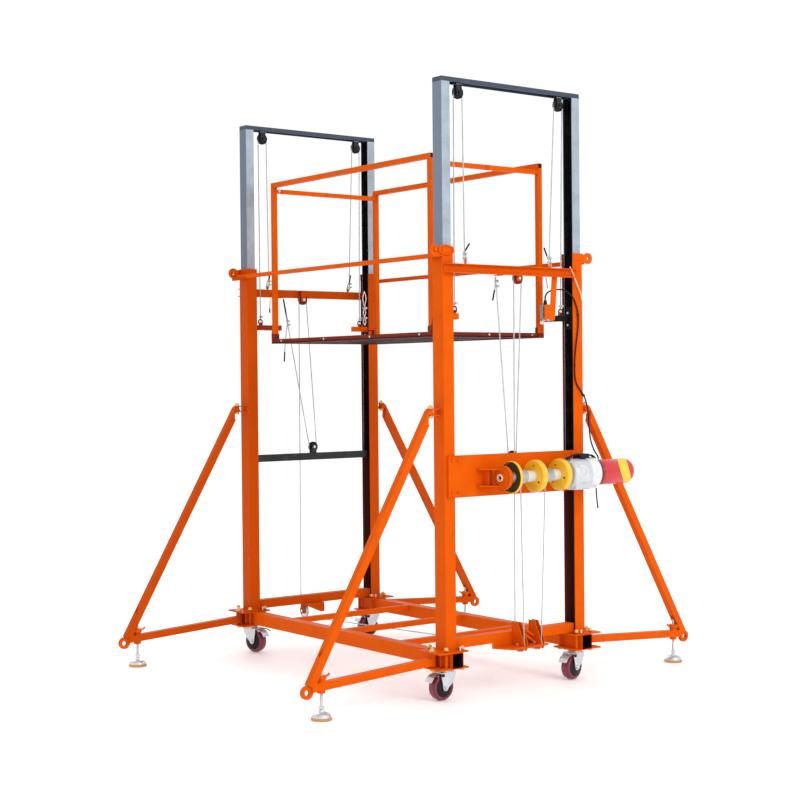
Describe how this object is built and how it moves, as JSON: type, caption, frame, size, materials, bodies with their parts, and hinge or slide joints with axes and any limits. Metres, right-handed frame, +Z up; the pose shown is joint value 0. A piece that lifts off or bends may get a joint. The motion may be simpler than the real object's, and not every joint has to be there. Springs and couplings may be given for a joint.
{
  "type": "mobile twin mast lifting platform",
  "caption": "Wheeled steel base with two telescoping post towers that raise a railed work deck by wire rope from a powered drum winch, steadied by folding outriggers",
  "frame": {"origin": "floor level, under the middle of the bounding box", "axes": "+X from the left posts to the right posts, +Y from the near tower with the winch to the far tower, +Z up"},
  "size_m": [2.61, 2.16, 3.09],
  "materials": {
    "orange_paint": "gloss",
    "mast_paint": "satin",
    "dark_slate_paint": "satin",
    "black_paint": "satin",
    "maroon_paint": "satin",
    "deck_panel": "matte",
    "winch_yellow": "gloss",
    "drum_core_steel": "satin",
    "motor_casting": "satin",
    "red_cover": "gloss",
    "yellow_band": "gloss",
    "zinc_plate": "satin",
    "wire_rope": "satin",
    "white_rope": "matte",
    "caster_tread": "satin",
    "caster_cover": "matte",
    "foot_pad": "matte",
    "black_cable": "matte"
  },
  "bodies": {
    "chassis": {"base_frame": "orange_paint", "sill_beam_near": "orange_paint", "sill_beam_far": "orange_paint", "post_near_left": "orange_paint", "post_near_right": "orange_paint", "post_far_left": "orange_paint", "post_far_right": "orange_paint", "head_beam_near": "orange_paint", "head_beam_far": "orange_paint", "tie_bar_left": "orange_paint", "tie_bar_right": "orange_paint", "winch_plate": "orange_paint", "gear_motor": "motor_casting", "motor_cover": "red_cover", "limit_switch": "orange_paint", "switch_cable": "black_cable", "motor_lead": "black_cable", "winch_rope_near": "wire_rope", "winch_rope_far": "wire_rope", "lift_rope_near_left": "wire_rope", "lift_rope_near_right": "wire_rope", "lift_rope_far_left": "wire_rope", "lift_rope_far_right": "wire_rope"},
    "mast_near": {"mast_near": "mast_paint"},
    "mast_far": {"mast_far": "mast_paint"},
    "platform": {"platform_frame": "maroon_paint", "deck_board": "deck_panel", "side_rail_left": "orange_paint", "side_rail_right": "orange_paint"},
    "end_rail_near": {"end_rail_near": "orange_paint"},
    "end_rail_far": {"end_rail_far": "orange_paint"},
    "winch_drum": {"winch_drum": "winch_yellow"},
    "limit_lever": {"limit_lever": "zinc_plate"},
    "base_sheave_near_a": {"base_sheave_near_a": "zinc_plate"},
    "base_sheave_near_b": {"base_sheave_near_b": "zinc_plate"},
    "base_sheave_far": {"base_sheave_far": "zinc_plate"},
    "head_sheave_near": {"head_sheave_near": "zinc_plate"},
    "mast_foot_sheave_near": {"mast_foot_sheave_near": "zinc_plate"},
    "head_sheave_far": {"head_sheave_far": "zinc_plate"},
    "mast_foot_sheave_far": {"mast_foot_sheave_far": "zinc_plate"},
    "lift_sheave_near_left": {"lift_sheave_near_left": "zinc_plate"},
    "lift_sheave_near_right": {"lift_sheave_near_right": "zinc_plate"},
    "lift_sheave_far_left": {"lift_sheave_far_left": "zinc_plate"},
    "lift_sheave_far_right": {"lift_sheave_far_right": "zinc_plate"},
    "caster_fork_near_left": {"caster_fork_near_left": "zinc_plate"},
    "caster_wheel_near_left": {"caster_wheel_near_left": "caster_tread"},
    "caster_fork_near_right": {"caster_fork_near_right": "zinc_plate"},
    "caster_wheel_near_right": {"caster_wheel_near_right": "caster_tread"},
    "caster_fork_far_left": {"caster_fork_far_left": "zinc_plate"},
    "caster_wheel_far_left": {"caster_wheel_far_left": "caster_tread"},
    "caster_fork_far_right": {"caster_fork_far_right": "zinc_plate"},
    "caster_wheel_far_right": {"caster_wheel_far_right": "caster_tread"},
    "outrigger_near_left": {"outrigger_near_left": "orange_paint"},
    "levelling_jack_near_left": {"levelling_jack_near_left": "zinc_plate"},
    "outrigger_near_right": {"outrigger_near_right": "orange_paint"},
    "levelling_jack_near_right": {"levelling_jack_near_right": "zinc_plate"},
    "outrigger_far_left": {"outrigger_far_left": "orange_paint"},
    "levelling_jack_far_left": {"levelling_jack_far_left": "zinc_plate"},
    "outrigger_far_right": {"outrigger_far_right": "orange_paint"},
    "levelling_jack_far_right": {"levelling_jack_far_right": "zinc_plate"}
  },
  "joints": [
    {"name": "mast_near_slide", "type": "slide", "parent": "chassis", "child": "mast_near", "axis": [0, 0, 1], "range_m": [-0.64, 0.7], "deforming": ["winch_rope_near", "lift_rope_near_left", "lift_rope_near_right"]},
    {"name": "mast_far_slide", "type": "slide", "parent": "chassis", "child": "mast_far", "axis": [0, 0, 1], "range_m": [-0.64, 0.7], "deforming": ["winch_rope_far", "lift_rope_far_left", "lift_rope_far_right"]},
    {"name": "platform_slide", "type": "slide", "parent": "mast_near", "child": "platform", "axis": [0, 0, 1], "range_m": [-0.64, 0.7]},
    {"name": "winch_drum_spin", "type": "hinge", "parent": "chassis", "child": "winch_drum", "pos_m": [0, -0.997, 1.098], "axis": [1, 0, 0], "range_deg": [-2177, 2380]},
    {"name": "base_sheave_near_a_spin", "type": "hinge", "parent": "chassis", "child": "base_sheave_near_a", "pos_m": [-0.012, -0.914, 0.236], "axis": [1, 0, 0], "range_deg": [-2312, 2116]},
    {"name": "base_sheave_near_b_spin", "type": "hinge", "parent": "chassis", "child": "base_sheave_near_b", "pos_m": [0.104, -0.914, 0.236], "axis": [1, 0, 0], "range_deg": [-2312, 2116]},
    {"name": "base_sheave_far_spin", "type": "hinge", "parent": "chassis", "child": "base_sheave_far", "pos_m": [-0.07, 0.98, 0.205], "axis": [1, 0, 0], "range_deg": [-2312, 2116]},
    {"name": "head_sheave_near_spin", "type": "hinge", "parent": "chassis", "child": "head_sheave_near", "pos_m": [0.038, -0.865, 2.108], "axis": [0, 1, 0], "range_deg": [-3106, 2841]},
    {"name": "mast_foot_sheave_near_spin", "type": "hinge", "parent": "mast_near", "child": "mast_foot_sheave_near", "pos_m": [0.009, -0.845, 1.192], "axis": [0, 1, 0], "range_deg": [-1563, 1431]},
    {"name": "head_sheave_far_spin", "type": "hinge", "parent": "chassis", "child": "head_sheave_far", "pos_m": [-0.043, 1.005, 2.081], "axis": [0, 1, 0], "range_deg": [-3106, 2841]},
    {"name": "mast_foot_sheave_far_spin", "type": "hinge", "parent": "mast_far", "child": "mast_foot_sheave_far", "pos_m": [0.009, 0.985, 1.192], "axis": [0, 1, 0], "range_deg": [-1563, 1431]},
    {"name": "lift_sheave_near_left_spin", "type": "hinge", "parent": "mast_near", "child": "lift_sheave_near_left", "pos_m": [-0.332, -0.845, 3.024], "axis": [0, 1, 0], "range_deg": [-1354, 1479]},
    {"name": "lift_sheave_near_right_spin", "type": "hinge", "parent": "mast_near", "child": "lift_sheave_near_right", "pos_m": [0.346, -0.845, 3.024], "axis": [0, 1, 0], "range_deg": [-1479, 1354]},
    {"name": "lift_sheave_far_left_spin", "type": "hinge", "parent": "mast_far", "child": "lift_sheave_far_left", "pos_m": [-0.332, 0.985, 3.024], "axis": [0, 1, 0], "range_deg": [-1354, 1479]},
    {"name": "lift_sheave_far_right_spin", "type": "hinge", "parent": "mast_far", "child": "lift_sheave_far_right", "pos_m": [0.346, 0.985, 3.024], "axis": [0, 1, 0], "range_deg": [-1479, 1354]},
    {"name": "end_rail_near_hinge", "type": "hinge", "parent": "platform", "child": "end_rail_near", "pos_m": [-0.338, -0.6665, 2.695], "axis": [0, 1, 0], "range_deg": [-90, 0]},
    {"name": "end_rail_far_hinge", "type": "hinge", "parent": "platform", "child": "end_rail_far", "pos_m": [-0.338, 0.8065, 2.695], "axis": [0, 1, 0], "range_deg": [-90, 0]},
    {"name": "caster_swivel_near_left", "type": "hinge", "parent": "chassis", "child": "caster_fork_near_left", "pos_m": [-0.439, -0.845, 0.15], "axis": [0, 0, 1], "continuous": true},
    {"name": "caster_roll_near_left", "type": "hinge", "parent": "caster_fork_near_left", "child": "caster_wheel_near_left", "pos_m": [-0.47298, -0.84619, 0.066], "axis": [-0.0349, 0.9994, 0], "continuous": true},
    {"name": "caster_swivel_near_right", "type": "hinge", "parent": "chassis", "child": "caster_fork_near_right", "pos_m": [0.439, -0.845, 0.15], "axis": [0, 0, 1], "continuous": true},
    {"name": "caster_roll_near_right", "type": "hinge", "parent": "caster_fork_near_right", "child": "caster_wheel_near_right", "pos_m": [0.40574, -0.85207, 0.066], "axis": [-0.2079, 0.9781, 0], "continuous": true},
    {"name": "caster_swivel_far_left", "type": "hinge", "parent": "chassis", "child": "caster_fork_far_left", "pos_m": [-0.439, 0.985, 0.15], "axis": [0, 0, 1], "continuous": true},
    {"name": "caster_roll_far_left", "type": "hinge", "parent": "caster_fork_far_left", "child": "caster_wheel_far_left", "pos_m": [-0.4302, 0.95216, 0.066], "axis": [-0.9659, -0.2588, 0], "continuous": true},
    {"name": "caster_swivel_far_right", "type": "hinge", "parent": "chassis", "child": "caster_fork_far_right", "pos_m": [0.439, 0.985, 0.15], "axis": [0, 0, 1], "continuous": true},
    {"name": "caster_roll_far_right", "type": "hinge", "parent": "caster_fork_far_right", "child": "caster_wheel_far_right", "pos_m": [0.40502, 0.98619, 0.066], "axis": [0.0349, 0.9994, 0], "continuous": true},
    {"name": "outrigger_swing_near_left", "type": "hinge", "parent": "chassis", "child": "outrigger_near_left", "pos_m": [-0.525, -0.845, 0.2036], "axis": [0, 0, 1], "range_deg": [-90, 0]},
    {"name": "jack_screw_near_left", "type": "slide", "parent": "outrigger_near_left", "child": "levelling_jack_near_left", "axis": [0, 0, 1], "range_m": [-0.05, 0.06]},
    {"name": "outrigger_swing_near_right", "type": "hinge", "parent": "chassis", "child": "outrigger_near_right", "pos_m": [0.525, -0.845, 0.2036], "axis": [0, 0, 1], "range_deg": [0, 90]},
    {"name": "jack_screw_near_right", "type": "slide", "parent": "outrigger_near_right", "child": "levelling_jack_near_right", "axis": [0, 0, 1], "range_m": [-0.05, 0.06]},
    {"name": "outrigger_swing_far_left", "type": "hinge", "parent": "chassis", "child": "outrigger_far_left", "pos_m": [-0.525, 0.985, 0.2036], "axis": [0, 0, 1], "range_deg": [0, 90]},
    {"name": "jack_screw_far_left", "type": "slide", "parent": "outrigger_far_left", "child": "levelling_jack_far_left", "axis": [0, 0, 1], "range_m": [-0.05, 0.06]},
    {"name": "outrigger_swing_far_right", "type": "hinge", "parent": "chassis", "child": "outrigger_far_right", "pos_m": [0.525, 0.985, 0.2036], "axis": [0, 0, 1], "range_deg": [-90, 0]},
    {"name": "jack_screw_far_right", "type": "slide", "parent": "outrigger_far_right", "child": "levelling_jack_far_right", "axis": [0, 0, 1], "range_m": [-0.05, 0.06]},
    {"name": "limit_lever_hinge", "type": "hinge", "parent": "chassis", "child": "limit_lever", "pos_m": [0.262, -0.842, 1.925], "axis": [0, 1, 0], "range_deg": [-4, 32], "stiffness_Nm_per_rad": 0.05}
  ],
  "couplings": [
    {"joint": "mast_far_slide", "follows": "mast_near_slide", "ratio": 1},
    {"joint": "platform_slide", "follows": "mast_near_slide", "ratio": 1},
    {"joint": "winch_drum_spin", "follows": "mast_near_slide", "rad_per_m": 58.82},
    {"joint": "base_sheave_near_a_spin", "follows": "mast_near_slide", "rad_per_m": -57.14},
    {"joint": "base_sheave_near_b_spin", "follows": "mast_near_slide", "rad_per_m": -57.14},
    {"joint": "base_sheave_far_spin", "follows": "mast_near_slide", "rad_per_m": -57.14},
    {"joint": "head_sheave_near_spin", "follows": "mast_near_slide", "rad_per_m": -76.92},
    {"joint": "mast_foot_sheave_near_spin", "follows": "mast_near_slide", "rad_per_m": -38.46},
    {"joint": "head_sheave_far_spin", "follows": "mast_near_slide", "rad_per_m": -76.92},
    {"joint": "mast_foot_sheave_far_spin", "follows": "mast_near_slide", "rad_per_m": -38.46},
    {"joint": "lift_sheave_near_left_spin", "follows": "mast_near_slide", "rad_per_m": 36.36},
    {"joint": "lift_sheave_near_right_spin", "follows": "mast_near_slide", "rad_per_m": -36.36},
    {"joint": "lift_sheave_far_left_spin", "follows": "mast_near_slide", "rad_per_m": 36.36},
    {"joint": "lift_sheave_far_right_spin", "follows": "mast_near_slide", "rad_per_m": -36.36}
  ]
}
